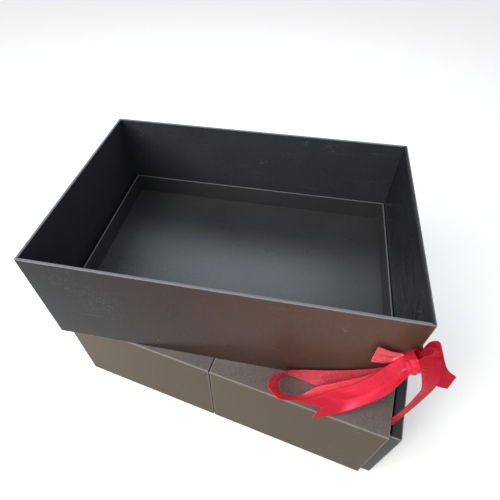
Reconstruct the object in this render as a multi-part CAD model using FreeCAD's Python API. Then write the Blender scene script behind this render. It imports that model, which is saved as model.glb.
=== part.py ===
import FreeCAD, Part
import math
import os

from FreeCAD import Vector

# Two tier gift box of paper wrapped greyboard, all sizes in millimetres.
# Lower tier: a sleeve case in two halves with one long drawer.
# Upper tier: an open tray with a loose liner, standing on the case a little turned.
# Origin: middle of the case underside. +X along the case to the drawer front, +Z up.

board = 3.0
edge_radius = 0.7

# Case: two half sleeves that meet at a seam, over one bottom board
case_length = 414.0
case_depth = 286.0
case_height = 144.0
seam_gap = 1.5
seam_strip_width = 40.0
seam_strip_thickness = 1.0

# Drawer, with its thick front standing out of the case as a grip
drawer_grip = 14.0
drawer_front_thickness = 11.0
drawer_depth = 276.0
drawer_bottom = board
drawer_height = 135.7
drawer_end_gap = 1.0

# Tray, and how it stands on the case
tray_length = 406.0
tray_depth = 279.0
tray_height = 140.0
tray_turn = 9.9
tray_centre_x = -23.0
tray_centre_y = 13.0
lining_thickness = 0.6

# Liner: a shallow tray with a raised floor, pushed to the right inside the tray
liner_board = 2.0
liner_length = 393.0
liner_depth = 271.0
liner_shift = 2.9
liner_underside = board
liner_rim_top = 43.0
liner_floor_top = 13.0

# Ribbon of red satin, and the slot in the tray's right wall that it comes out of
ribbon_thickness = 0.8
ribbon_steps = 4
notch_depth = 15.0
slot_front_y = -121.5
slot_rear_y = -114.5
pocket_rear_y = -84.0
slot_low_z = 73.0
slot_high_z = 99.0

# Knot: a band of ribbon wrapped flat round the bow, in facets
knot_centre = Vector(197.0, -153.0, 98.0)
knot_axis = Vector(0.42, 0.05, 0.9).normalize()
knot_front = Vector(-0.82, -0.385, 0.405)
knot_half_length = 7.0
knot_half_width = 10.5
knot_half_thickness = 6.5
knot_end_share = 0.82
knot_sides = 12

# Ribbon strands as pairs of points on their two edges, in the tray's own frame:
# x along the tray to the right, y to the rear, z up from the tray's underside.
left_loop_edges = [
    ((197.6, -148, 97), (201.4, -156, 96)),
    ((194.5, -148, 90), (198.6, -156, 89)),
    ((185.5, -147, 73), (193, -152, 60)),
    ((172, -144, 53), (181, -146, 32)),
    ((151, -143, 38), (156, -147, 15)),
    ((126, -143, 27), (127, -152, 3)),
    ((101, -144, 20), (107, -148, 2)),
    ((85, -148, 19), (89, -145, 2)),
    ((72, -155, 20), (81, -149, 2)),
    ((67, -166, 20), (78, -158, 2)),
    ((71, -174, 20), (81, -165, 2)),
    ((82, -180, 17), (90, -168, 2)),
    ((102, -175, 10), (104, -166, 4)),
    ((131, -171, 4), (120, -158, 14)),
    ((160, -164, 9), (148, -152, 29)),
    ((181, -157, 36), (169, -150, 52)),
    ((192, -157, 67), (182, -148.5, 74)),
    ((196.5, -158, 90), (192, -149, 91)),
    ((198.8, -157, 97.5), (195.2, -149, 98.2)),
]

left_tail_edges = [
    ((191.5, -147.3, 100), (197.3, -161, 98.7)),
    ((188, -147, 93.5), (194.7, -162.4, 92)),
    ((181.5, -149, 80.5), (192.3, -163, 72.8)),
    ((172, -153, 66), (187, -167, 57)),
    ((163, -157, 53), (180, -170, 42)),
    ((149, -159, 32), (165, -174, 22)),
    ((129, -164, 18), (146, -180, 7)),
    ((101, -177, 15), (119, -188, 2)),
]

short_end_edges = [
    ((195, -145.6, 97), (196, -147, 92.5)),
    ((189, -144.5, 93), (190, -145.5, 83)),
    ((178, -144.5, 94), (180, -145.5, 72)),
    ((164.5, -145, 99.8), (164, -147, 71.5)),
]

right_loop_edges = [
    ((198.8, -149.2, 99.5), (199.4, -147.4, 103)),
    ((211, -148, 84), (214, -144.5, 106)),
    ((222, -148, 66), (227, -143.5, 88)),
    ((234, -148.5, 49), (237, -143.5, 74)),
    ((245, -149, 48), (248, -143, 64)),
]

right_tail_edges = [
    ((199.5, -155, 103), (202, -150.5, 104)),
    ((203, -150.5, 110), (211, -145, 113)),
    ((202, -156, 110), (213, -150, 118)),
    ((207, -160, 86), (221, -153.5, 98)),
    ((213, -161, 66), (227, -155, 75)),
    ((215, -161, 54), (229, -155, 52)),
    ((214, -162, 46), (226, -157.5, 29)),
    ((211, -166, 36), (221, -162, 17)),
    ((205, -172, 24), (215, -167, 7)),
    ((197, -178, 16), (203, -179, 2)),
]

# The band that holds the bow: glued flat behind the lining, out through the slot,
# forward along the outside of the wall and round the corner into the knot.
pocket_middle_x = tray_length / 2 - board + lining_thickness + ribbon_thickness / 2
band_route = [
    (pocket_middle_x, -86.0, 98, 74),
    (pocket_middle_x, -106.0, 98, 74),
    (pocket_middle_x, -115.0, 98, 74),
    (202.2, -116.8, 98, 74),
    (204.0, -119.0, 98, 74),
    (206.0, -124.0, 97, 74),
    (207.0, -134.0, 95, 75),
    (205.5, -143.0, 93, 80),
    (199.0, -150.5, 94, 88),
]

pieces = {}


def panel(x_range, y_range, z_range, soft=()):
    """A board between two values on each axis. soft names the edges that are rounded."""
    faces = {
        "left": (0, x_range[0]), "right": (0, x_range[1]),
        "front": (1, y_range[0]), "rear": (1, y_range[1]),
        "bottom": (2, z_range[0]), "top": (2, z_range[1]),
    }
    size = [high - low for low, high in (x_range, y_range, z_range)]
    solid = Part.makeBox(*size, Vector(x_range[0], y_range[0], z_range[0]))
    wanted = [[faces[word] for word in name.split()] for name in soft]
    rounded = []
    for edge in solid.Edges:
        middle = edge.CenterOfMass
        for pair in wanted:
            if all(abs(middle[axis] - value) < 1e-6 for axis, value in pair):
                rounded.append(edge)
    return solid.makeFillet(edge_radius, rounded) if rounded else solid


def smooth_point(points, span, t):
    """A point of the smooth curve through all the points, at t along one span."""
    last = len(points) - 1
    before = points[max(span - 1, 0)]
    start = points[span]
    end = points[span + 1]
    after = points[min(span + 2, last)]
    return (
        start * 2
        + (end - before) * t
        + (before * 2 - start * 5 + end * 4 - after) * t ** 2
        + (start * 3 - before - end * 3 + after) * t ** 3
    ) * 0.5


def smooth_line(points):
    """The curve through the points, cut into even steps on every span."""
    line = []
    for span in range(len(points) - 1):
        for step in range(ribbon_steps):
            line.append(smooth_point(points, span, step / ribbon_steps))
    line.append(points[-1])
    return line


def ribbon_strip(first_edge, second_edge):
    """A band of ribbon between two edge lines: thin sections joined by flat three cornered facets."""
    middles = [(a + b) * 0.5 for a, b in zip(first_edge, second_edge)]
    sections = []
    for index, (a, b) in enumerate(zip(first_edge, second_edge)):
        ahead = middles[min(index + 1, len(middles) - 1)]
        behind = middles[max(index - 1, 0)]
        lift = (b - a).cross(ahead - behind).normalize() * (ribbon_thickness / 2)
        sections.append([a + lift, b + lift, b - lift, a - lift])
    outlines = [sections[0], sections[-1]]
    for here, there in zip(sections, sections[1:]):
        for start, end in ((0, 1), (3, 2), (1, 2), (0, 3)):
            outlines.append([here[start], here[end], there[end]])
            outlines.append([here[start], there[end], there[start]])
    facets = [Part.Face(Part.makePolygon(outline + [outline[0]])) for outline in outlines]
    shell = Part.makeShell(facets)
    shell.sewShape()
    solid = Part.makeSolid(shell)
    return solid if solid.Volume > 0 else solid.reversed()


def ribbon_strand(edges):
    """A strand from its hand chosen edge points."""
    first_edge = smooth_line([Vector(*a) for a, b in edges])
    second_edge = smooth_line([Vector(*b) for a, b in edges])
    return ribbon_strip(first_edge, second_edge)


def swallowtail(strand, edges):
    """The strand with a notch cut into its end, between its two tips."""
    a, b = (Vector(*point) for point in edges[-1])
    before_a, before_b = (Vector(*point) for point in edges[-2])
    along = ((a + b) - (before_a + before_b)).normalize()
    lift = (b - a).cross(along).normalize() * 20
    across = (b - a) * 0.1
    outside = along * 4
    corners = [a - across + outside, (a + b) * 0.5 - along * notch_depth, b + across + outside]
    corners = [corner - lift for corner in corners]
    notch = Part.Face(Part.makePolygon(corners + [corners[0]])).extrude(lift * 2)
    return strand.cut(notch)


def knot_section(share):
    """A flattened many sided ring of the knot, at a share of its half length from the middle."""
    across = knot_axis.cross(knot_front).normalize()
    front = across.cross(knot_axis)
    swell = 1 - (1 - knot_end_share) * share ** 2
    middle = knot_centre + knot_axis * (share * knot_half_length)
    corners = []
    for side in range(knot_sides + 1):
        angle = math.tau * (side % knot_sides) / knot_sides
        wide = across * (math.cos(angle) * knot_half_width * swell)
        thick = front * (math.sin(angle) * knot_half_thickness * swell)
        corners.append(middle + wide + thick)
    return Part.makePolygon(corners)


# Case
half_x = case_length / 2
half_y = case_depth / 2
half_seam = seam_gap / 2
under_top = case_height - board
inner_y = half_y - board

pieces["case_bottom_board"] = panel((-half_x + board, half_x), (-inner_y, inner_y), (0, board))
pieces["left_end_panel"] = panel(
    (-half_x, -half_x + board), (-inner_y, inner_y), (0, under_top), ["left bottom"])

for side, x_range, outer in (
    ("left", (-half_x, -half_seam), "left"),
    ("right", (half_seam, half_x), "right"),
):
    pieces[side + "_top_panel"] = panel(
        x_range, (-half_y, half_y), (under_top, case_height),
        ["front top", "rear top", "left top", "right top", outer + " front", outer + " rear"])
    pieces[side + "_front_panel"] = panel(
        x_range, (-half_y, -inner_y), (0, under_top),
        ["front bottom", "left front", "right front"])
    pieces[side + "_rear_panel"] = panel(
        x_range, (inner_y, half_y), (0, under_top),
        ["rear bottom", "left rear", "right rear"])

strip_x = (-seam_strip_width / 2, seam_strip_width / 2)
strip_inner_y = inner_y - seam_strip_thickness
pieces["seam_strip_front"] = panel(strip_x, (-inner_y, -strip_inner_y), (board, under_top))
pieces["seam_strip_rear"] = panel(strip_x, (strip_inner_y, inner_y), (board, under_top))
pieces["seam_strip_top"] = panel(
    strip_x, (-strip_inner_y, strip_inner_y), (under_top - seam_strip_thickness, under_top))

# Drawer
drawer_left = -half_x + board + drawer_end_gap
drawer_right = half_x + drawer_grip
drawer_y = drawer_depth / 2
drawer_top = drawer_bottom + drawer_height
drawer_x = (drawer_left, drawer_right)
wall_z = (drawer_bottom, drawer_top)
between_ends = (drawer_left + board, drawer_right - drawer_front_thickness)

pieces["drawer_front"] = panel(
    (drawer_right - drawer_front_thickness, drawer_right), (-drawer_y, drawer_y), wall_z,
    ["right top", "left top", "right front", "right rear", "right bottom"])
pieces["drawer_back"] = panel(
    (drawer_left, drawer_left + board), (-drawer_y, drawer_y), wall_z, ["right top", "left top"])
pieces["drawer_front_side"] = panel(
    between_ends, (-drawer_y, -drawer_y + board), wall_z, ["front top", "rear top"])
pieces["drawer_rear_side"] = panel(
    between_ends, (drawer_y - board, drawer_y), wall_z, ["front top", "rear top"])
pieces["drawer_base"] = panel(
    between_ends, (-drawer_y + board, drawer_y - board), (drawer_bottom, drawer_bottom + board))

# Tray, in its own frame
tray_x = tray_length / 2
tray_y = tray_depth / 2
tray_inner_x = tray_x - board
tray_inner_y = tray_y - board
tray_z = (0, tray_height)
tray_pieces = {}

tray_pieces["tray_base"] = panel(
    (-tray_inner_x, tray_inner_x), (-tray_inner_y, tray_inner_y), (0, board))
tray_pieces["tray_front_wall"] = panel(
    (-tray_x, tray_x), (-tray_y, -tray_inner_y), tray_z,
    ["front top", "rear top", "front bottom", "left front", "right front", "left top", "right top"])
tray_pieces["tray_rear_wall"] = panel(
    (-tray_x, tray_x), (tray_inner_y, tray_y), tray_z,
    ["front top", "rear top", "rear bottom", "left rear", "right rear", "left top", "right top"])
tray_pieces["tray_left_wall"] = panel(
    (-tray_x, -tray_inner_x), (-tray_inner_y, tray_inner_y), tray_z,
    ["left top", "right top", "left bottom"])

right_wall = panel(
    (tray_inner_x + lining_thickness, tray_x), (-tray_inner_y, tray_inner_y), tray_z,
    ["left top", "right top", "right bottom"])
slot = panel(
    (tray_inner_x, tray_x + board), (slot_front_y, slot_rear_y), (slot_low_z, slot_high_z))
pocket = panel(
    (tray_inner_x, pocket_middle_x + ribbon_thickness / 2),
    (slot_rear_y - edge_radius, pocket_rear_y), (slot_low_z, slot_high_z))
tray_pieces["tray_right_wall"] = right_wall.cut(slot).cut(pocket)
tray_pieces["right_wall_lining"] = panel(
    (tray_inner_x, tray_inner_x + lining_thickness), (-tray_inner_y, tray_inner_y),
    (board, tray_height - 2 * edge_radius))

# Ribbon and bow, in the tray's frame
band_top = [Vector(x, y, high) for x, y, high, low in band_route]
band_bottom = [Vector(x, y, low) for x, y, high, low in band_route]
tray_pieces["ribbon_band"] = ribbon_strip(band_top, band_bottom)
tray_pieces["left_loop"] = ribbon_strand(left_loop_edges)
tray_pieces["left_tail"] = swallowtail(ribbon_strand(left_tail_edges), left_tail_edges)
tray_pieces["short_end"] = ribbon_strand(short_end_edges)
tray_pieces["right_loop"] = ribbon_strand(right_loop_edges)
tray_pieces["right_tail"] = ribbon_strand(right_tail_edges)

tray_pieces["bow_knot"] = Part.makeLoft(
    [knot_section(share) for share in (-1, -0.5, 0, 0.5, 1)], True, True)

# Liner, in the tray's frame
liner_left = liner_shift - liner_length / 2
liner_right = liner_shift + liner_length / 2
liner_y = liner_depth / 2
liner_inner_y = liner_y - liner_board
rim_z = (liner_underside, liner_rim_top)
liner_between = (liner_left + liner_board, liner_right - liner_board)

tray_pieces["liner_floor"] = panel(
    liner_between, (-liner_inner_y, liner_inner_y), (liner_floor_top - liner_board, liner_floor_top))
tray_pieces["liner_front_rim"] = panel(
    (liner_left, liner_right), (-liner_y, -liner_inner_y), rim_z, ["front top", "rear top"])
tray_pieces["liner_rear_rim"] = panel(
    (liner_left, liner_right), (liner_inner_y, liner_y), rim_z, ["front top", "rear top"])
tray_pieces["liner_left_rim"] = panel(
    (liner_left, liner_left + liner_board), (-liner_inner_y, liner_inner_y), rim_z,
    ["left top", "right top"])
tray_pieces["liner_right_rim"] = panel(
    (liner_right - liner_board, liner_right), (-liner_inner_y, liner_inner_y), rim_z,
    ["left top", "right top"])

# The tray with its liner and ribbon stands on the case, turned about the upright axis
stand = FreeCAD.Placement(
    Vector(tray_centre_x, tray_centre_y, case_height),
    FreeCAD.Rotation(Vector(0, 0, 1), tray_turn))
for name, solid in tray_pieces.items():
    solid.Placement = stand.multiply(solid.Placement)
    pieces[name] = solid

os.makedirs("parts", exist_ok=True)
for name, solid in pieces.items():
    print(name, len(solid.Solids), solid.isValid(), round(solid.Volume))
    solid.exportStep("parts/" + name + ".step")
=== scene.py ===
import math

import bpy
import numpy as np
from mathutils import Matrix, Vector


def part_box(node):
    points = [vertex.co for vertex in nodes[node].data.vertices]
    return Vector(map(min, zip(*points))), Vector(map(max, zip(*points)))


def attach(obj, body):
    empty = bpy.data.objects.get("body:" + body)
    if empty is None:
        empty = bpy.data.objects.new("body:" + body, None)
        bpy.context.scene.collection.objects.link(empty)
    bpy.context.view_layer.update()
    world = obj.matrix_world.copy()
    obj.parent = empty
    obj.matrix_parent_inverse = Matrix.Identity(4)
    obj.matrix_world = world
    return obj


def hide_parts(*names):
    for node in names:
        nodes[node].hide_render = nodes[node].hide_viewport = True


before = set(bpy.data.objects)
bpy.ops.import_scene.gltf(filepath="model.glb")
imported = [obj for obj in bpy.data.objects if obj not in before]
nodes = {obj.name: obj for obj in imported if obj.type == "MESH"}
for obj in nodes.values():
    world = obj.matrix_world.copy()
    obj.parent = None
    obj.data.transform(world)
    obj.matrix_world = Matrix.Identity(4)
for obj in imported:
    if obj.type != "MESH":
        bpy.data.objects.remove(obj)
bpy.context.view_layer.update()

# the tray stands on the case, turned about the upright axis through the middle of its base
trayTurn = math.radians(9.9)
trayLow, trayHigh = (np.array(corner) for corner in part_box("tray_base"))
trayFoot = np.append((trayLow + trayHigh)[:2] / 2, trayLow[2])

# outside sizes of the tray and its liner in millimetres, like all places in the tray's own frame
traySize = {"halfLength": 203.0, "halfWidth": 139.5, "height": 140.0, "board": 3.0}
linerSize = {"halfLength": 196.5, "halfWidth": 135.5, "height": 40.0, "shift": 2.9}


def fromTray(points):
    # millimetres in the tray's own frame, turned and shifted to where the tray stands, in metres
    c, s = math.cos(trayTurn), math.sin(trayTurn)
    turn = np.array([[c, -s, 0], [s, c, 0], [0, 0, 1]])
    return np.asarray(points, float) / 1000 @ turn.T + trayFoot


def boxAround(*names):
    # the middle and the half sizes of the box round some nodes, in metres
    corners = np.array([[list(corner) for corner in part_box(name)] for name in names])
    low, high = corners[:, 0].min(axis=0), corners[:, 1].max(axis=0)
    return {"centre": tuple((low + high) / 2), "half": tuple((high - low) / 2)}


def trayBox(size, shift, low):
    # the same for a box in the tray, which stands at an angle
    middle = fromTray((shift, 0, low + size["height"] / 2))
    half = np.array([size["halfLength"], size["halfWidth"], size["height"] / 2]) / 1000
    return {"centre": tuple(middle), "half": tuple(half), "turn": trayTurn}


def addNode(tree, kind, **settings):
    node = tree.nodes.new(kind)
    for name, value in settings.items():
        setattr(node, name, value)
    return node


def feed(tree, socket, value):
    # a socket takes a link, a colour or a plain number
    if isinstance(value, bpy.types.NodeSocket):
        tree.links.new(value, socket)
    elif isinstance(value, tuple) and len(value) == 3 and socket.type == "RGBA":
        socket.default_value = (*value, 1)
    else:
        socket.default_value = value


def calc(tree, operation, a, b=None, c=None, clamp=False):
    node = addNode(tree, "ShaderNodeMath", operation=operation, use_clamp=clamp)
    for socket, value in zip(node.inputs, (a, b, c)):
        if value is not None:
            feed(tree, socket, value)
    return node.outputs[0]


def vectorCalc(tree, operation, a, b=None):
    node = addNode(tree, "ShaderNodeVectorMath", operation=operation)
    for socket, value in zip(node.inputs, (a, b)):
        if value is not None:
            feed(tree, socket, value)
    return node.outputs["Value" if operation == "DISTANCE" else "Vector"]


def splitUp(tree, vector):
    node = addNode(tree, "ShaderNodeSeparateXYZ")
    feed(tree, node.inputs[0], vector)
    return node.outputs


def stepUp(tree, value, low, high):
    # 0 below low, 1 above high, smooth between
    node = addNode(tree, "ShaderNodeMapRange", interpolation_type="SMOOTHSTEP")
    for socket, item in zip(node.inputs, (value, low, high, 0.0, 1.0)):
        feed(tree, socket, item)
    return node.outputs[0]


def stepDown(tree, value, low, high):
    # 1 below low, 0 above high, smooth between
    return calc(tree, "SUBTRACT", 1.0, stepUp(tree, value, low, high))


def mixColour(tree, share, first, second, blend="MIX"):
    node = addNode(tree, "ShaderNodeMix", data_type="RGBA", blend_type=blend)
    feed(tree, node.inputs[0], share)
    feed(tree, node.inputs[6], first)
    feed(tree, node.inputs[7], second)
    return node.outputs[2]


def noise(tree, vector, scale, detail=3.0, roughness=0.55, distortion=0.0):
    node = addNode(tree, "ShaderNodeTexNoise")
    feed(tree, node.inputs["Vector"], vector)
    feed(tree, node.inputs["Scale"], scale)
    feed(tree, node.inputs["Detail"], detail)
    feed(tree, node.inputs["Roughness"], roughness)
    feed(tree, node.inputs["Distortion"], distortion)
    return node.outputs["Fac"]


def turned(tree, vector, kind="POINT", **values):
    node = addNode(tree, "ShaderNodeMapping", vector_type=kind)
    feed(tree, node.inputs["Vector"], vector)
    for name, value in values.items():
        feed(tree, node.inputs[name], value)
    return node.outputs[0]


def newGroup(name, inputs, outputs):
    group = bpy.data.node_groups.new(name, "ShaderNodeTree")
    for label, kind, value in inputs:
        socket = group.interface.new_socket(label, in_out="INPUT", socket_type="NodeSocket" + kind)
        socket.default_value = value
    for label, kind in outputs:
        group.interface.new_socket(label, in_out="OUTPUT", socket_type="NodeSocket" + kind)
    return group, addNode(group, "NodeGroupInput").outputs, addNode(group, "NodeGroupOutput").inputs


def useGroup(tree, group, **values):
    node = addNode(tree, "ShaderNodeGroup", node_tree=group)
    for label, value in values.items():
        feed(tree, node.inputs[label], value)
    return node.outputs


grainLook = {
    "coarseShare": 0.55, "fineShare": 0.25, "cloudShare": 0.20, "fineness": 3.1, "cloudScale": 14.0,
    "speckScale": 95.0, "speckChosen": (0.80, 0.86), "speckReach": (0.03, 0.11),
}


def makePaperGrain():
    # mottled fibres: coarse, fine and cloudy noise added by their shares, and pale specks at the
    # middles of a few cells
    look = grainLook
    group, given, out = newGroup(
        "paperGrain", [("Vector", "Vector", (0, 0, 0)), ("Size", "Float", 0.0016)],
        [("Grain", "Float"), ("Specks", "Float"), ("Height", "Float")])
    place = given["Vector"]
    scale = calc(group, "DIVIDE", 1.0, given["Size"])
    coarse = noise(group, place, scale, detail=3.0, roughness=0.65)
    fine = noise(group, place, calc(group, "MULTIPLY", scale, look["fineness"]), detail=2.0, roughness=0.6)
    cloud = noise(group, place, look["cloudScale"], detail=3.0, roughness=0.6)
    grain = calc(group, "MULTIPLY", fine, look["fineShare"])
    grain = calc(group, "MULTIPLY_ADD", coarse, look["coarseShare"], grain)
    grain = calc(group, "MULTIPLY_ADD", cloud, look["cloudShare"], grain)
    cells = addNode(group, "ShaderNodeTexVoronoi", feature="F1")
    feed(group, cells.inputs["Vector"], place)
    feed(group, cells.inputs["Scale"], look["speckScale"])
    chosen = stepUp(group, cells.outputs["Color"], *look["speckChosen"])
    near = stepDown(group, cells.outputs["Distance"], *look["speckReach"])
    feed(group, out["Grain"], grain)
    feed(group, out["Specks"], calc(group, "MULTIPLY", chosen, near))
    feed(group, out["Height"], calc(group, "ADD", fine, coarse))
    return group


faceLook = {
    "raggedScale": 170.0, "raggedShare": 1.6, "raggedLeast": 0.3, "solidShare": 0.3,
    "skin": (0.0004, 0.0009), "rimDrop": (0.0003, 0.0010),
}


def makeBoxFaces():
    # how near a point lies to a box's outer edges, outer faces and top: of its depths below the
    # three pairs of faces, the least says the face and the middle one says the edge
    look = faceLook
    group, given, out = newGroup(
        "boxFaces", [("Vector", "Vector", (0, 0, 0)), ("Half", "Vector", (1, 1, 1)),
                     ("Width", "Float", 0.002)],
        [("Edge", "Float"), ("Outer", "Float"), ("Rim", "Float")])
    away = vectorCalc(group, "ABSOLUTE", given["Vector"])
    x, y, z = splitUp(group, vectorCalc(group, "SUBTRACT", given["Half"], away))
    least = calc(group, "MINIMUM", x, y)
    most = calc(group, "MAXIMUM", x, y)
    middle = calc(group, "MAXIMUM", least, calc(group, "MINIMUM", most, z))
    nearest = calc(group, "MINIMUM", least, z)
    ragged = noise(group, given["Vector"], look["raggedScale"], detail=3.0, roughness=0.7)
    ragged = calc(group, "MULTIPLY_ADD", ragged, look["raggedShare"], look["raggedLeast"])
    reach = calc(group, "MULTIPLY", given["Width"], ragged)
    solid = calc(group, "MULTIPLY", reach, look["solidShare"])
    drop = calc(group, "SUBTRACT", splitUp(group, given["Half"])[2], splitUp(group, given["Vector"])[2])
    feed(group, out["Edge"], stepDown(group, middle, solid, reach))
    feed(group, out["Outer"], stepDown(group, nearest, *look["skin"]))
    feed(group, out["Rim"], stepDown(group, drop, *look["rimDrop"]))
    return group


scuffLook = {
    "flatScale": (14.0, 14.0, 420.0), "flatTurn": (0.02, 0.03, 0.3), "flatRange": (0.62, 0.76),
    "slantScale": (380.0, 26.0, 30.0), "slantTurn": (0.2, 0.7, 0.5), "slantRange": (0.66, 0.80),
    "dullScale": 9.0,
}


def makeScuffs():
    # thin rubbed strokes in two directions, and cloudy dull patches
    look = scuffLook
    group, given, out = newGroup(
        "scuffs", [("Vector", "Vector", (0, 0, 0))], [("Strokes", "Float"), ("Dull", "Float")])
    place = given["Vector"]
    strokes = []
    for way in ("flat", "slant"):
        drawn = turned(group, place, Scale=look[way + "Scale"], Rotation=look[way + "Turn"])
        lines = noise(group, drawn, 1.0, detail=4.0, roughness=0.6)
        strokes.append(stepUp(group, lines, *look[way + "Range"]))
    dull = noise(group, place, look["dullScale"], detail=4.0, roughness=0.62, distortion=0.4)
    feed(group, out["Strokes"], calc(group, "MAXIMUM", *strokes))
    feed(group, out["Dull"], dull)
    return group


rubLook = {"solidShare": 0.15, "raggedScale": 360.0, "boost": 0.17, "nickRange": (0.70, 0.78)}


def makeRubPatch():
    # a worn place: small ragged nicks, thick in its middle and thinning out with distance
    look = rubLook
    group, given, out = newGroup(
        "rubPatch", [("Vector", "Vector", (0, 0, 0)), ("Centre", "Vector", (0, 0, 0)),
                     ("Radius", "Float", 0.02)], [("Nicks", "Float")])
    gap = vectorCalc(group, "DISTANCE", given["Vector"], given["Centre"])
    near = stepDown(group, calc(group, "DIVIDE", gap, given["Radius"]), look["solidShare"], 1.0)
    ragged = noise(group, given["Vector"], look["raggedScale"], detail=3.0, roughness=0.7)
    level = calc(group, "MULTIPLY_ADD", near, look["boost"], ragged)
    nicks = stepUp(group, level, *look["nickRange"])
    feed(group, out["Nicks"], calc(group, "MULTIPLY", nicks, near))
    return group


paperGrain = makePaperGrain()
boxFaces = makeBoxFaces()
scuffs = makeScuffs()
rubPatch = makeRubPatch()
print("shared effects made")

# depths in metres below the front face and the right face, and how far dull patches and the rubbed edges,
# pale from wear and from a painted highlight, change the tone and the roughness
wearLook = {
    "frontSkin": (0.0014, 0.0004), "rightRim": (0.0045, 0.0032), "dullShade": 0.5, "dullRough": 0.22,
    "rubRough": 0.2, "bumpHeight": 0.0004,
}


def makePaper(name, look):
    # wrapped board: dark paper, lighter where the fold is rubbed and where a highlight is painted on edges
    # and rims, dulled in patches
    material = bpy.data.materials.new(name)
    material.use_nodes = True
    tree = material.node_tree
    shader = tree.nodes["Principled BSDF"]
    place = addNode(tree, "ShaderNodeTexCoord").outputs["Object"]
    local = turned(tree, place, "TEXTURE", Location=look["centre"], Rotation=(0, 0, look["turn"]))
    faces = useGroup(tree, boxFaces, Vector=local, Half=look["half"], Width=look["edgeWidth"])
    grain = useGroup(tree, paperGrain, Vector=local, Size=look["grainSize"])
    worn = useGroup(tree, scuffs, Vector=local)
    x, y = splitUp(tree, local)[:2]
    halfLength, halfWidth = look["half"][:2]

    # the outside's tone drifts along the front face only; on the tray its warm, reddish right end is a
    # painted reflection of warm surroundings and the red ribbon
    driftAndReflection = stepUp(tree, x, -halfLength, halfLength)
    toFront = calc(tree, "MULTIPLY", y, -1.0)
    front = stepUp(tree, toFront, *(halfWidth - depth for depth in wearLook["frontSkin"]))
    driftAndReflection = calc(tree, "MULTIPLY", driftAndReflection, front)
    outside = mixColour(tree, driftAndReflection, look["outside"], look["outsideFarToneAndReflection"])
    body = mixColour(tree, faces["Outer"], look["inside"], outside)

    # grain and dull patches change the tone about its middle
    shade = calc(tree, "MULTIPLY_ADD", grain["Grain"], look["grain"], 1.0 - look["grain"] / 2)
    shade = calc(tree, "SUBTRACT", shade, wearLook["dullShade"] / 2)
    shade = calc(tree, "MULTIPLY_ADD", worn["Dull"], wearLook["dullShade"], shade)
    body = mixColour(tree, 1.0, body, shade, "MULTIPLY")

    # strokes, specks and worn places lie over it
    marks = calc(tree, "MULTIPLY", worn["Strokes"], look["strokes"])
    marks = calc(tree, "MULTIPLY_ADD", grain["Specks"], look["specks"], marks, clamp=True)
    for centre, radius, strength in look["patches"]:
        nicks = useGroup(tree, rubPatch, Vector=local, Centre=centre, Radius=radius)["Nicks"]
        marks = calc(tree, "MULTIPLY_ADD", nicks, strength, marks, clamp=True)
    body = mixColour(tree, marks, body, look["mark"])

    # rubbed folds and the pale rim: partly worn paper and the board's pale cut, partly a painted highlight on
    # the edges and board tops; the rim is darker on the right wall
    right = stepUp(tree, x, *(halfLength - depth for depth in wearLook["rightRim"]))
    rimPaleAndHighlight = calc(tree, "MULTIPLY_ADD", right, look["rimRight"] - look["rim"], look["rim"])
    rubAndHighlight = calc(tree, "MULTIPLY", faces["Edge"], look["rubAndHighlight"])
    rubAndHighlight = calc(tree, "MAXIMUM", rubAndHighlight, calc(tree, "MULTIPLY", faces["Rim"], rimPaleAndHighlight))
    feed(tree, shader.inputs["Base Color"], mixColour(tree, rubAndHighlight, body, look["edge"]))

    leastRough = look["rough"] - wearLook["dullRough"] / 2
    rough = calc(tree, "MULTIPLY_ADD", worn["Dull"], wearLook["dullRough"], leastRough)
    rough = calc(tree, "MULTIPLY_ADD", rubAndHighlight, wearLook["rubRough"], rough, clamp=True)
    feed(tree, shader.inputs["Roughness"], rough)
    feed(tree, shader.inputs["Specular IOR Level"], look["gloss"])
    bump = addNode(tree, "ShaderNodeBump")
    feed(tree, bump.inputs["Strength"], look["bump"])
    feed(tree, bump.inputs["Distance"], wearLook["bumpHeight"])
    feed(tree, bump.inputs["Height"], grain["Height"])
    feed(tree, shader.inputs["Normal"], bump.outputs[0])
    return material


def dress(material, *names):
    for name in names:
        mesh = nodes[name].data
        mesh.materials.clear()
        mesh.materials.append(material)


# a box so large that none of its faces and edges shows, for boards with one tone all over
farFaces = (0.4, 0.4, 0.4)

caseLook = {
    **boxAround("left_top_panel", "left_front_panel"), "turn": 0.0,
    "inside": (0.030, 0.029, 0.030), "outside": (0.150, 0.127, 0.118), "outsideFarToneAndReflection": (0.155, 0.130, 0.118),
    "edge": (0.27, 0.26, 0.255), "mark": (0.30, 0.29, 0.28),
    "edgeWidth": 0.0014, "grainSize": 0.0017, "grain": 2.2, "strokes": 0.10, "specks": 0.35,
    # rub and rim pale the edges and board tops: partly worn paper, partly a painted highlight
    "rubAndHighlight": 0.6, "rim": 0.0, "rimRight": 0.0, "rough": 0.62, "gloss": 0.22, "bump": 0.6, "patches": (),
}
rightLook = {**caseLook, **boxAround("right_top_panel", "right_front_panel")}
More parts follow.
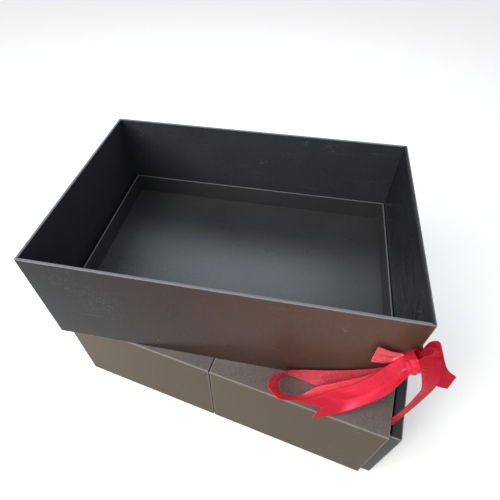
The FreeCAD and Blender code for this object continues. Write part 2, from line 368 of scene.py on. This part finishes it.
# the case front and left end take a darker, browner copy of the case paper: painted shade and a painted warm
# reflection of the ground
caseFrontShadedLook = {
    **caseLook, "outside": (0.080, 0.060, 0.042), "outsideFarToneAndReflection": (0.074, 0.053, 0.035),
    "grain": 0.5, "strokes": 0.22, "specks": 0.15, "rough": 0.5, "gloss": 0.10,
}
rightFrontShadedLook = {**caseFrontShadedLook, "centre": rightLook["centre"]}
hiddenLook = {**caseLook, "half": farFaces, "inside": (0.20, 0.19, 0.175), "rubAndHighlight": 0.0}
seamLook = {**hiddenLook, "inside": (0.022, 0.021, 0.022)}
drawerLook = {
    **boxAround("drawer_front", "drawer_back"), "turn": 0.0,
    "inside": (0.030, 0.028, 0.030), "outside": (0.020, 0.021, 0.024), "outsideFarToneAndReflection": (0.020, 0.021, 0.024),
    "edge": (0.34, 0.35, 0.36), "mark": (0.25, 0.25, 0.25),
    "edgeWidth": 0.0013, "grainSize": 0.0016, "grain": 0.5, "strokes": 0.08, "specks": 0.12,
    # rub and rim pale the edges and board tops: partly worn paper, partly a painted highlight
    "rubAndHighlight": 0.8, "rim": 0.03, "rimRight": 0.03, "rough": 0.5, "gloss": 0.3, "bump": 0.3, "patches": (),
}

# worn places on the tray: where, in metres from its middle, then radius and strength
frontFace = -traySize["halfWidth"] / 1000
rearInside = (traySize["halfWidth"] - traySize["board"]) / 1000
rightInside = (traySize["halfLength"] - traySize["board"]) / 1000
trayPatches = (
    ((-0.128, frontFace, 0.010), 0.070, 0.11), ((-0.160, frontFace, 0.045), 0.045, 0.09),
    ((0.131, frontFace, 0.040), 0.008, 0.55), ((-0.069, frontFace, -0.049), 0.003, 0.95),
    ((rightInside, -0.113, 0.048), 0.014, 0.55), ((rightInside, -0.060, 0.052), 0.016, 0.30),
    ((0.013, rearInside, 0.023), 0.014, 0.35), ((0.070, rearInside, 0.061), 0.011, 0.35),
    ((0.105, rearInside, 0.056), 0.020, 0.28), ((-0.172, rearInside, 0.048), 0.014, 0.28),
)
trayLook = {
    **trayBox(traySize, 0, 0),
    # the front face warms towards the right: a painted reflection of warm surroundings and the red ribbon
    "inside": (0.034, 0.034, 0.040), "outside": (0.012, 0.013, 0.016), "outsideFarToneAndReflection": (0.082, 0.042, 0.030),
    "edge": (0.30, 0.31, 0.33), "mark": (0.20, 0.20, 0.20),
    "edgeWidth": 0.0016, "grainSize": 0.0026, "grain": 0.9, "strokes": 0.14, "specks": 0.22,
    # rub and rim pale the edges and board tops: partly worn paper, partly a painted highlight
    "rubAndHighlight": 0.6, "rim": 0.55, "rimRight": 0.10, "rough": 0.30, "gloss": 0.08, "bump": 0.12,
    "patches": trayPatches,
}
# the loose lining is smoother than the walls, so that its wrinkles catch the light
loosePaperLook = {**trayLook, "inside": (0.015, 0.015, 0.019), "rough": 0.27, "gloss": 0.5}
linerLook = {
    **trayBox(linerSize, linerSize["shift"], traySize["board"]),
    "inside": (0.036, 0.036, 0.041), "outside": (0.036, 0.036, 0.041), "outsideFarToneAndReflection": (0.036, 0.036, 0.041),
    "edge": (0.30, 0.30, 0.32), "mark": (0.16, 0.16, 0.17),
    "edgeWidth": 0.0008, "grainSize": 0.0026, "grain": 0.9, "strokes": 0.05, "specks": 0.10,
    # rub and rim pale the edges and board tops: partly worn paper, partly a painted highlight
    "rubAndHighlight": 0.3, "rim": 0.45, "rimRight": 0.45, "rough": 0.42, "gloss": 0.5, "bump": 0.08,
    "patches": (((-0.160, 0.1345, 0.020), 0.016, 0.95),),
}
floorLook = {
    **linerLook, "half": farFaces, "inside": (0.048, 0.048, 0.054), "rim": 0.0, "rimRight": 0.0, "rubAndHighlight": 0.0,
    "rough": 0.30, "gloss": 0.6, "strokes": 0.0, "specks": 0.14, "grainSize": 0.0034, "grain": 1.8,
    "bump": 0.35, "patches": (),
}

trayPaper = makePaper("trayPaper", trayLook)
liningPaper = makePaper("liningPaper", loosePaperLook)
dress(makePaper("caseTopLeft", caseLook), "left_top_panel", "left_rear_panel")
dress(makePaper("caseTopRight", rightLook), "right_top_panel", "right_rear_panel")
dress(makePaper("caseFrontLeftShaded", caseFrontShadedLook), "left_front_panel", "left_end_panel")
dress(makePaper("caseFrontRightShaded", rightFrontShadedLook), "right_front_panel")
dress(makePaper("caseGreyboard", hiddenLook), "case_bottom_board")
dress(makePaper("seamPaper", seamLook), "seam_strip_top", "seam_strip_front", "seam_strip_rear")
dress(makePaper("drawerPaper", drawerLook), "drawer_front", "drawer_back", "drawer_front_side",
      "drawer_rear_side", "drawer_base")
dress(trayPaper, "tray_base", "tray_front_wall", "tray_rear_wall", "tray_left_wall", "tray_right_wall")
dress(makePaper("linerPaper", linerLook), "liner_front_rim", "liner_rear_rim", "liner_left_rim",
      "liner_right_rim")
dress(makePaper("linerFloorPaper", floorLook), "liner_floor")
print("boards papered")


def smoothLine(points, count):
    # the curve that passes through every point, each span a cubic from its two neighbours
    points = np.asarray(points, float)
    place = np.linspace(0, len(points) - 1, count)
    span = np.minimum(place.astype(int), len(points) - 2)
    t = (place - span)[:, None]
    before, start = points[np.maximum(span - 1, 0)], points[span]
    end, after = points[span + 1], points[np.minimum(span + 2, len(points) - 1)]
    return 0.5 * (2 * start + (end - before) * t + (2 * before - 5 * start + 4 * end - after) * t ** 2
                  + (3 * start - before - 3 * end + after) * t ** 3)


def gridMesh(name, grid, across, along, material):
    # a grid of points becomes quads, with the piece's own lengths as its UV map
    rows, columns = grid.shape[:2]
    index = np.arange(rows * columns).reshape(rows, columns)
    corners = [index[:-1, :-1], index[:-1, 1:], index[1:, 1:], index[1:, :-1]]
    quads = np.stack(corners, -1).reshape(-1, 4)
    mesh = bpy.data.meshes.new(name)
    mesh.from_pydata(grid.reshape(-1, 3).tolist(), [], quads.tolist())
    uvs = np.stack([across, along], -1).reshape(-1, 2)[quads.reshape(-1)]
    mesh.uv_layers.new(name="UVMap").data.foreach_set("uv", uvs.astype(np.float32).ravel())
    mesh.polygons.foreach_set("use_smooth", np.ones(len(quads), bool))
    mesh.materials.append(material)
    piece = bpy.data.objects.new(name, mesh)
    bpy.context.scene.collection.objects.link(piece)
    return piece


def traySheet(name, grid, across, along, material, thickness):
    # a thin sheet that goes with the tray, its wall half to each side of the grid; the grid and
    # the thickness are in millimetres, the UV lengths in metres
    piece = gridMesh(name, fromTray(grid), across, along, material)
    wall = piece.modifiers.new("thickness", "SOLIDIFY")
    wall.thickness = thickness / 1000
    wall.offset = 0
    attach(piece, "tray")
    return piece


# millimetres; each corner has the lap's width and how far its cut edge stands off at the top
lapLook = {
    "corners": {"FrontRight": (5.5, 0.9), "RearLeft": (9.0, 0.0), "RearRight": (8.0, 0.25)},
    "low": 1.2, "high": 138.8, "thickness": 0.25, "inset": 0.7, "clearance": 0.16, "liftFrom": 100.0,
    "liftOver": 39.0, "waves": ((0.05, 9.0, 0.0), (0.03, 3.1, 1.0)), "uvWidth": 8.0,
    "rows": 90, "columns": 9,
}


def cornerLap(corner, fullWidth, lift):
    # the wrap of the short wall turned over the corner: a strip on the long wall's face with a
    # wavy cut edge, which stands off by the squares of the height above liftFrom and of the
    # distance from the corner
    look = lapLook
    side = 1 if corner.endswith("Right") else -1
    face = -1 if corner.startswith("Front") else 1
    z = np.linspace(look["low"], look["high"], look["rows"])[:, None]
    t = np.linspace(0, 1, look["columns"])[None, :]
    width = fullWidth * (1 + sum(size * np.sin(z / step + phase) for size, step, phase in look["waves"]))
    x = side * (traySize["halfLength"] - look["inset"] - width * t)
    rise = np.clip((z - look["liftFrom"]) / look["liftOver"], 0, 1) ** 2
    y = face * (traySize["halfWidth"] + look["clearance"] + lift * rise * t ** 2)
    grid = np.stack(np.broadcast_arrays(x, y, z), -1)
    if side * face > 0:
        grid = grid[:, ::-1]
    across, along = np.broadcast_arrays(t * look["uvWidth"] / 1000, z / 1000)
    traySheet("paperLap" + corner, grid, across, along, trayPaper, look["thickness"])


for corner, (fullWidth, lift) in lapLook["corners"].items():
    cornerLap(corner, fullWidth, lift)

# millimetres; a wrinkle has the two ends of its line as (y, z), its width and its height
liningLook = {
    "face": 200.0, "thickness": 0.5, "halfWidth": 136.3, "low": 3.2, "high": 138.2,
    "puff": 0.5, "waves": ((31.0, 23.0, 0.0), (17.0, -14.0, 1.3)),
    "pocket": ((-117, -84), (73, 99), 0.45), "pocketEdge": 0.8,
    "wrinkles": [
        ((118, 130), (40, 114), 4.0, 0.9), ((104, 116), (20, 97), 5.0, 0.8),
        ((70, 128), (-20, 121), 3.5, 0.7), ((30, 104), (-60, 90), 4.0, 0.6),
        ((-20, 124), (-80, 106), 3.0, 0.6), ((-40, 80), (-84, 87), 3.0, 0.5),
        ((-120, 126), (-104, 108), 2.0, 0.6), ((-110, 108), (-127, 92), 2.0, 0.5),
        ((-96, 122), (-112, 100), 2.2, 0.5), ((60, 84), (0, 72), 4.5, 0.5),
        ((120, 96), (84, 70), 4.0, 0.6),
    ],
    "sway": 3.0, "swayRate": 4.0, "fadeRate": 4.0, "easeSide": 8.0, "easeTop": 6.0,
    "flatBelow": 47.0, "easeLow": 8.0, "rows": 130, "columns": 240,
}


def wrinkledLining():
    # the lining paper stands off its wall: a low puff, a flat rise over the glued ribbon end, and
    # ridges along swaying lines, each a bell curve of the distance to its line; it lies flat at
    # its edges and behind the liner
    look = liningLook
    y = np.linspace(-look["halfWidth"], look["halfWidth"], look["columns"])[None, :]
    z = np.linspace(look["low"], look["high"], look["rows"])[:, None]
    waves = sum(0.5 * np.sin(y / yStep + z / zStep + phase) for yStep, zStep, phase in look["waves"])
    height = look["puff"] * (1 + waves) / 2
    (yLow, yHigh), (zLow, zHigh), rise = look["pocket"]
    past = np.maximum(np.maximum(yLow - y, y - yHigh), np.maximum(zLow - z, z - zHigh))
    height = height + rise / (1 + np.exp(past / look["pocketEdge"]))
    for (y0, z0), (y1, z1), width, ridge in look["wrinkles"]:
        span = math.hypot(y1 - y0, z1 - z0)
        run = ((y - y0) * (y1 - y0) + (z - z0) * (z1 - z0)) / span ** 2
        off = ((y - y0) * (z1 - z0) - (z - z0) * (y1 - y0)) / span
        off = off + look["sway"] * np.sin(run * look["swayRate"])
        inside = np.clip(run * look["fadeRate"], 0, 1) * np.clip((1 - run) * look["fadeRate"], 0, 1)
        height = height + ridge * inside * np.exp(-(off / width) ** 2)
    ease = np.clip((look["halfWidth"] - np.abs(y)) / look["easeSide"], 0, 1)
    ease = ease * np.clip((look["high"] - z) / look["easeTop"], 0, 1)
    ease = ease * np.clip((z - look["flatBelow"]) / look["easeLow"], 0, 1)
    x = look["face"] + look["thickness"] / 2 - height * ease
    grid = np.stack(np.broadcast_arrays(x, y, z), -1)[:, ::-1]
    across, along = np.broadcast_arrays(y[:, ::-1] / 1000, z / 1000)
    piece = traySheet("liningPaper", grid, across, along, liningPaper, look["thickness"])
    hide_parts("right_wall_lining")


wrinkledLining()
print("paper laps and lining added")

# lengths in metres, and scales per metre of ribbon width and length
satinLook = {
    "threads": (2600.0, 60.0, 1.0), "picks": (90.0, 1500.0, 1.0), "cloud": (60.0, 35.0, 1.0),
    "middle": 0.0125, "selvageFrom": (0.0112, 0.0119), "selvage": (0.34, 0.006, 0.018), "selvageShare": 0.45,
    "toneRange": (0.3, 0.7), "rough": 0.28, "pickRough": 0.06, "pickBump": 0.2,
    "through": 0.6, "throughColour": (1.0, 0.12, 0.15), "throughDepth": 0.006,
    "metal": 0.25, "stretch": 0.8, "shine": (1.0, 0.36, 0.36), "bump": 0.18, "bumpHeight": 0.0002,
}
# one satin in three tones matched to the photo: a paler copy that paints light on the loop and the short end,
# and a deeper, duller copy that paints shade on the ends to the right of the knot
satinTones = {
    "redSatin": {"deep": (0.54, 0.011, 0.032), "bright": (0.72, 0.030, 0.066), "gloss": 0.22},
    "redSatinPaintedLight": {"deep": (0.92, 0.060, 0.095), "bright": (0.98, 0.120, 0.155), "gloss": 0.22},
    "redSatinPaintedShade": {"deep": (0.42, 0.007, 0.022), "bright": (0.56, 0.016, 0.042), "gloss": 0.03},
}


def makeSatin(name, tone):
    # satin: long fine threads, short cross threads, firmer woven edges, soft uneven tone, and a
    # shine drawn out along the ribbon
    look = satinLook
    material = bpy.data.materials.new(name)
    material.use_nodes = True
    tree = material.node_tree
    shader = tree.nodes["Principled BSDF"]
    flat = addNode(tree, "ShaderNodeTexCoord").outputs["UV"]
    threads = noise(tree, turned(tree, flat, Scale=look["threads"]), 1.0, detail=2.0, roughness=0.5)
    picks = noise(tree, turned(tree, flat, Scale=look["picks"]), 1.0, detail=2.0, roughness=0.5)
    cloud = noise(tree, turned(tree, flat, Scale=look["cloud"]), 1.0, detail=3.0, roughness=0.6)
    fromMiddle = calc(tree, "ABSOLUTE", calc(tree, "SUBTRACT", splitUp(tree, flat)[0], look["middle"]))
    selvage = stepUp(tree, fromMiddle, *look["selvageFrom"])
    light = calc(tree, "MULTIPLY", calc(tree, "ADD", threads, cloud), 0.5)
    colour = mixColour(tree, stepUp(tree, light, *look["toneRange"]), tone["deep"], tone["bright"])
    colour = mixColour(tree, calc(tree, "MULTIPLY", selvage, look["selvageShare"]), colour, look["selvage"])
    feed(tree, shader.inputs["Base Color"], colour)
    rough = calc(tree, "MULTIPLY_ADD", picks, look["pickRough"], look["rough"] - look["pickRough"] / 2)
    feed(tree, shader.inputs["Roughness"], rough)
    feed(tree, shader.inputs["Subsurface Weight"], look["through"])
    feed(tree, shader.inputs["Subsurface Radius"], look["throughColour"])
    feed(tree, shader.inputs["Subsurface Scale"], look["throughDepth"])
    feed(tree, shader.inputs["Metallic"], look["metal"])
    feed(tree, shader.inputs["Anisotropic"], look["stretch"])
    feed(tree, shader.inputs["Specular IOR Level"], tone["gloss"])
    feed(tree, shader.inputs["Specular Tint"], look["shine"])
    grainWay = addNode(tree, "ShaderNodeTangent", direction_type="UV_MAP", uv_map="UVMap")
    feed(tree, shader.inputs["Tangent"], grainWay.outputs[0])
    bump = addNode(tree, "ShaderNodeBump")
    feed(tree, bump.inputs["Strength"], look["bump"])
    feed(tree, bump.inputs["Distance"], look["bumpHeight"])
    feed(tree, bump.inputs["Height"], calc(tree, "MULTIPLY_ADD", picks, look["pickBump"], threads))
    feed(tree, shader.inputs["Normal"], bump.outputs[0])
    return material


redSatin, paintedLightSatin, paintedShadeSatin = (makeSatin(name, tone) for name, tone in satinTones.items())

# the ribbon's own width and thickness in millimetres, and the points across it
ribbon = {"width": 25.0, "thickness": 0.45, "columns": 21}


def ribbonStrip(name, shape, satin):
    # between two smooth edge lines: the middle bulges, folds near the knot fade along the strip,
    # and the end is cut straight or to a swallowtail
    edges = np.asarray(shape["edges"], float)
    rows, columns = shape["rows"], ribbon["columns"]
    first, second = smoothLine(edges[:, 0], rows), smoothLine(edges[:, 1], rows)
    t = np.linspace(0, 1, columns)
    inward = np.where(t < shape["notchAt"], t / shape["notchAt"], (1 - t) / (1 - shape["notchAt"]))
    cut = 1 - shape["notch"] * inward
    place = np.linspace(0, 1, rows)[:, None] * cut[None, :] * (rows - 1)
    low = np.minimum(place.astype(int), rows - 2)
    part = (place - low)[..., None]
    firstAt = first[low] * (1 - part) + first[low + 1] * part
    secondAt = second[low] * (1 - part) + second[low + 1] * part
    grid = firstAt * (1 - t)[None, :, None] + secondAt * t[None, :, None]
    heading = np.gradient((first + second) / 2, axis=0)
    facing = np.cross(second - first, heading)
    facing /= np.linalg.norm(facing, axis=1, keepdims=True)
    facing = facing[low] * (1 - part) + facing[low + 1] * part
    share = place / (rows - 1)
    bulge = np.interp(share, np.linspace(0, 1, len(shape["bulge"])), shape["bulge"])
    lift = bulge * 4 * t * (1 - t)
    for start, reach, height, waves, phase in shape["folds"]:
        fade = np.exp(-((share - start) / reach) ** 2)
        lift = lift + height * fade * np.sin(2 * np.pi * (waves * t + phase))
    grid = grid + facing * lift[..., None]
    step = np.linalg.norm(np.diff(grid[:, columns // 2], axis=0), axis=1) / 1000
    along = np.concatenate([[0], np.cumsum(step)])[:, None] * np.ones(columns)
    across = np.ones(rows)[:, None] * t[None, :] * ribbon["width"] / 1000
    piece = traySheet(name, grid, across, along, satin, ribbon["thickness"])
    return piece, float(along.max())


# each strip: pairs of edge points in millimetres from its start to its end, the bulge along it,
# and folds as (middle, reach, height, waves, phase); cutShare is its flat area over width x length
straightCut = {"notch": 0.0, "notchAt": 0.5, "cutShare": 1.0}
slantCut = {**straightCut, "cutShare": 0.9}
leftLoopShape = {
    **straightCut, "rows": 190, "bulge": (0, 0.8, 1.4, 1.2, 0.6, 0.6, 0.8, 1.2, 0.8, 0),
    "folds": [(0.06, 0.10, 0.9, 2.0, 0.0), (0.95, 0.10, 0.9, 1.5, 0.2), (0.75, 0.08, 0.5, 1.0, 0.3)],
    "edges": [
        ((197.6, -148, 97), (201.4, -156, 96)), ((194.5, -148, 90), (198.6, -156, 89)),
        ((185.5, -147, 73), (193, -152, 60)), ((172, -144, 53), (181, -146, 32)),
        ((151, -143, 38), (156, -147, 15)), ((126, -143, 27), (127, -152, 3)),
        ((101, -144, 20), (107, -148, 2)), ((85, -148, 19), (89, -145, 2)),
        ((72, -155, 20), (81, -149, 2)), ((67, -166, 20), (78, -158, 2)),
        ((71, -174, 20), (81, -165, 2)), ((82, -180, 17), (90, -168, 2)),
        ((102, -175, 10), (104, -166, 4)), ((131, -171, 4), (120, -158, 14)),
        ((160, -164, 9), (148, -152, 29)), ((181, -157, 36), (169, -150, 52)),
        ((192, -157, 67), (182, -148.5, 74)), ((196.5, -158, 90), (192, -149, 91)),
        ((198.8, -157, 97.5), (195.2, -149, 98.2)),
    ],
}
leftTailShape = {
    "notch": 0.085, "notchAt": 0.60, "cutShare": 0.94,
    "rows": 120, "bulge": (0, 2.6, 3.8, 3.2, 2.2, 1.4, 0.5),
    "folds": [(0.05, 0.18, 1.0, 2.0, 0.1), (0.40, 0.20, 0.7, 1.2, 0.4)],
    "edges": [
        ((191.5, -147.3, 100), (197.3, -161, 98.7)), ((188, -147, 93.5), (194.7, -162.4, 92)),
        ((181.5, -149, 80.5), (192.3, -163, 72.8)), ((172, -153, 66), (187, -167, 57)),
        ((163, -157, 53), (180, -170, 42)), ((149, -159, 32), (165, -174, 22)),
        ((129, -164, 18), (146, -180, 7)), ((101, -177, 15), (119, -188, 2)),
    ],
}
shortEndShape = {
    **straightCut, "rows": 40, "bulge": (0, 1.5, 1.0), "folds": [(0.3, 0.4, 1.5, 2.0, 0.0)],
    "edges": [
        ((195, -145.6, 97), (196, -147, 92.5)), ((189, -144.5, 93), (190, -145.5, 83)),
        ((178, -144.5, 94), (180, -145.5, 72)), ((164.5, -145, 99.8), (164, -147, 71.5)),
    ],
}
rightLoopShape = {
    **slantCut, "rows": 110, "bulge": (0, 0.3, 0.6, 0.8, 0.4, 0), "folds": [(0.1, 0.15, 0.4, 1.5, 0.0)],
    "edges": [
        ((198.8, -149.2, 99.5), (200.6, -146.2, 113.3)), ((203, -148.6, 95), (203, -144.5, 121.6)),
        ((210, -148, 86), (210.3, -143.8, 122.8)), ((216, -148, 76), (218.7, -143.5, 107.5)),
        ((222, -148, 66), (228.5, -143.5, 87.9)), ((234, -148.5, 49), (237, -143.5, 74)),
        ((245, -149, 48), (248, -143, 64)),
    ],
}
rightTailShape = {
    **slantCut, "rows": 170, "bulge": (0, 0.4, 0.6, 0.8, 0.8, 0.5, 0.3),
    "folds": [(0.03, 0.08, 0.6, 1.8, 0.0)],
    "edges": [
        ((198.5, -151, 104), (203, -149, 106)), ((199.5, -149.2, 110), (207, -147, 113)),
        ((201.4, -150.6, 122.4), (210.5, -147.2, 118.8)), ((204.5, -153.5, 123.9), (212.3, -149.5, 119.4)),
        ((202, -157, 120.6), (213.7, -151, 116.2)), ((195.8, -159.5, 120.6), (215.6, -152, 112.2)),
        ((191.9, -163.5, 118.2), (216.8, -154, 108.8)), ((196.8, -165.5, 108.6), (219.4, -155.5, 101.5)),
        ((203.9, -166, 90.6), (220.7, -158, 94.2)), ((209, -166, 75.4), (222.7, -160, 84.5)),
        ((210.9, -166, 64.5), (223.4, -161.5, 65.1)), ((210.3, -166.5, 55.7), (222.1, -162, 38.7)),
        ((208.9, -168.5, 41.7), (218.9, -164.5, 22.7)), ((204.2, -173, 26.4), (213.7, -168.5, 10.7)),
        ((197, -178, 16), (203, -179, 2)),
    ],
}
bandShape = {
    **straightCut, "rows": 90, "bulge": (0, 0, 0, 0, 0, 0.5, 0.5, 0), "folds": [],
    "edges": [
        ((201, -86, 98), (201, -86, 74)), ((201, -106, 98), (201, -106, 74)),
        ((201, -115, 98), (201, -115, 74)), ((202.2, -116.8, 98), (202.2, -116.8, 74)),
        ((204, -119, 98), (204, -119, 74)), ((206, -124, 97), (206, -124, 74)),
        ((207, -134, 95), (207, -134, 75)), ((205.5, -143, 93), (205.5, -143, 80)),
        ((199, -150.5, 94), (199, -150.5, 88)),
    ],
}

# the paler satin is painted light and the deeper satin painted shade, both on one and the same ribbon
for name, node, shape, satin, held, carriers in (
    ("leftLoop", "left_loop", leftLoopShape, paintedLightSatin, "folded", ["right_top_panel", "bow_knot"]),
    ("leftTail", "left_tail", leftTailShape, redSatin, "hung", ["bow_knot"]),
    ("shortEnd", "short_end", shortEndShape, paintedLightSatin, "hung", ["bow_knot"]),
    ("rightLoop", "right_loop", rightLoopShape, paintedShadeSatin, "hung", ["bow_knot"]),
    ("rightTail", "right_tail", rightTailShape, paintedShadeSatin, "hung", ["bow_knot"]),
    ("ribbonBand", "ribbon_band", bandShape, redSatin, "folded", ["tray_right_wall"]),
):
    strip, length = ribbonStrip(name, shape, satin)
    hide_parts(node)
    print(name, "length", round(length, 3))

# millimetres in the tray's frame; a pleat has its height and its rate across the band, and the
# wide pleats wander from side to side round the knot
knotShape = {
    "centre": (197, -153, 98), "axis": (0.42, 0.05, 0.9), "front": (-0.82, -0.385, 0.405),
    "halfLength": 7.2, "halfWidth": 10.3, "halfThickness": 6.2, "endShare": 0.86,
    "turns": 1.2, "startAngle": 2.6, "growth": 0.7, "rock": 0.12, "rockAngle": 0.8, "meanRadius": 8.5,
    "widePleat": (0.4, 4.4), "finePleat": (0.3, 8.0), "wander": 0.8, "wanderRate": 1.5,
    "rows": 170, "columns": 31,
}


def wrappedKnot(name, shape):
    # a band wound a little over once round the bundle: a flattened ring that swells in the
    # middle and grows with the turn, with shallow pleats that run round it
    axis = np.array(shape["axis"]) / np.linalg.norm(shape["axis"])
    sideways = np.cross(axis, shape["front"])
    sideways /= np.linalg.norm(sideways)
    front = np.cross(sideways, axis)
    angle = np.linspace(0, 2 * np.pi * shape["turns"], shape["rows"])[:, None]
    t = np.linspace(-1, 1, shape["columns"])[None, :]
    swell = 1 - (1 - shape["endShare"]) * t ** 4
    wander = shape["wander"] * np.sin(angle * shape["wanderRate"])
    (wideHeight, wideRate), (fineHeight, fineRate) = shape["widePleat"], shape["finePleat"]
    pleat = wideHeight * np.sin(wideRate * t + wander) + fineHeight * np.sin(fineRate * t - angle)
    grown = pleat + shape["growth"] * angle / (2 * np.pi)
    turn = angle + shape["startAngle"]
    wide = (shape["halfWidth"] * swell + grown) * np.cos(turn)
    thick = (shape["halfThickness"] * swell + grown) * np.sin(turn)
    length = t * shape["halfLength"] * (1 + shape["rock"] * np.sin(turn + shape["rockAngle"]))
    grid = (np.array(shape["centre"]) + length[..., None] * axis + wide[..., None] * sideways
            + thick[..., None] * front)
    across = (t + 1) / 2 * ribbon["width"] / 1000 * np.ones_like(angle)
    along = angle * shape["meanRadius"] / 1000 * np.ones_like(t)
    return traySheet(name, grid, across, along, redSatin, ribbon["thickness"])


bowKnot = wrappedKnot("bowKnot", knotShape)
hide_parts("bow_knot")
print("ribbon tied")

stageLook = {
    "floor": (0.92, 0.90, 0.87), "floorRough": 0.85, "floorGloss": 0.1, "floorHalf": 4.0, "floorDrop": 0.0004,
    "floorPoints": 9, "lift": 0.24, "sky": (0.90, 0.95, 1.0), "skyStrength": 0.60,
}


def makeFloor():
    # a pale floor, lifted to white for the camera and for reflections where no shadow falls
    t = np.linspace(-stageLook["floorHalf"], stageLook["floorHalf"], stageLook["floorPoints"])
    x, y = np.meshgrid(t, t)
    grid = np.stack([x, y, np.full_like(x, -stageLook["floorDrop"])], -1)
    material = bpy.data.materials.new("paleFloor")
    material.use_nodes = True
    tree = material.node_tree
    shader = tree.nodes["Principled BSDF"]
    feed(tree, shader.inputs["Base Color"], stageLook["floor"])
    feed(tree, shader.inputs["Roughness"], stageLook["floorRough"])
    feed(tree, shader.inputs["Specular IOR Level"], stageLook["floorGloss"])
    path = addNode(tree, "ShaderNodeLightPath").outputs
    seen = calc(tree, "MAXIMUM", path["Is Camera Ray"], path["Is Glossy Ray"])
    seen = calc(tree, "MAXIMUM", seen, path["Is Transmission Ray"])
    feed(tree, shader.inputs["Emission Color"], (1.0, 1.0, 1.0))
    feed(tree, shader.inputs["Emission Strength"], calc(tree, "MULTIPLY", seen, stageLook["lift"]))
    floor = gridMesh("floor", grid, x, y, material)


def makeWorld():
    # white to the camera, a weaker pale blue as light
    world = bpy.data.worlds.new("studio")
    world.use_nodes = True
    tree = world.node_tree
    back = tree.nodes["Background"]
    path = addNode(tree, "ShaderNodeLightPath").outputs
    seen = calc(tree, "MAXIMUM", path["Is Camera Ray"], path["Is Transmission Ray"])
    strength = stageLook["skyStrength"]
    feed(tree, back.inputs["Color"], mixColour(tree, seen, stageLook["sky"], (1.0, 1.0, 1.0)))
    feed(tree, back.inputs["Strength"], calc(tree, "MULTIPLY_ADD", seen, 1 - strength, strength))
    bpy.context.scene.world = world


def placeMatrix(right, up, back, place):
    rows = [(right[i], up[i], back[i], place[i]) for i in range(3)]
    return Matrix(rows + [(0, 0, 0, 1)])


lights = {
    "key": {"place": (-0.95, -1.35, 2.1), "target": (0, 0, 0.15), "size": (0.9, 0.9),
            "power": 22.0, "colour": (1.0, 0.97, 0.93)},
    "skyPanel": {"place": (-0.28, 0.79, 1.0), "target": (-0.04, 0.0, 0.157), "size": (0.74, 0.66),
                 "power": 4.2, "colour": (0.78, 0.90, 1.0)},
    "fill": {"place": (0.45, -1.6, 1.2), "target": (0.1, 0, 0.1), "size": (1.2, 1.0),
             "power": 2.0, "colour": (1.0, 0.98, 0.95)},
    "sideBox": {"place": (-0.95, -0.80, 0.85), "target": (0.16, -0.13, 0.2), "size": (0.35, 0.35),
                "power": 6.0, "colour": (1.0, 0.99, 0.97)},
    "frontBox": {"place": (-0.55, -1.25, 0.75), "target": (0.16, -0.13, 0.2), "size": (0.35, 0.35),
                 "power": 8.0, "colour": (1.0, 0.99, 0.97)},
}


def softbox(name, place, target, size, power, colour):
    lamp = bpy.data.lights.new(name, "AREA")
    lamp.shape = "RECTANGLE"
    lamp.size, lamp.size_y = size
    lamp.energy = power
    lamp.color = colour
    holder = bpy.data.objects.new(name, lamp)
    holder.visible_camera = False
    bpy.context.scene.collection.objects.link(holder)
    back = np.array(place, float) - np.array(target, float)
    back /= np.linalg.norm(back)
    side = np.cross((0, 0, 1.0), back)
    side /= np.linalg.norm(side)
    holder.matrix_world = placeMatrix(side, np.cross(back, side), back, place)


# fitted to the photo's straight edges: the lens in millimetres, its axes and place in the frame
cameraLook = {
    "sensor": 36.0, "lens": 27.61, "shift": (0.0376, 0.0156), "near": 0.02,
    "right": (0.9309, 0.3651, -0.0152), "up": (-0.2669, 0.7077, 0.6542), "back": (0.2496, -0.6049, 0.7562),
    "place": (0.1022, -0.3120, 0.5744),
}


def makeCamera():
    look = cameraLook
    camera = bpy.data.objects.new("camera", bpy.data.cameras.new("camera"))
    camera.data.sensor_width = look["sensor"]
    camera.data.lens = look["lens"]
    camera.data.shift_x, camera.data.shift_y = look["shift"]
    camera.data.clip_start = look["near"]
    camera.matrix_world = placeMatrix(look["right"], look["up"], look["back"], look["place"])
    bpy.context.scene.collection.objects.link(camera)
    bpy.context.scene.camera = camera


makeFloor()
makeWorld()
for name, light in lights.items():
    softbox(name, **light)
makeCamera()
bpy.context.scene.view_settings.view_transform = "Standard"
print("stage set")
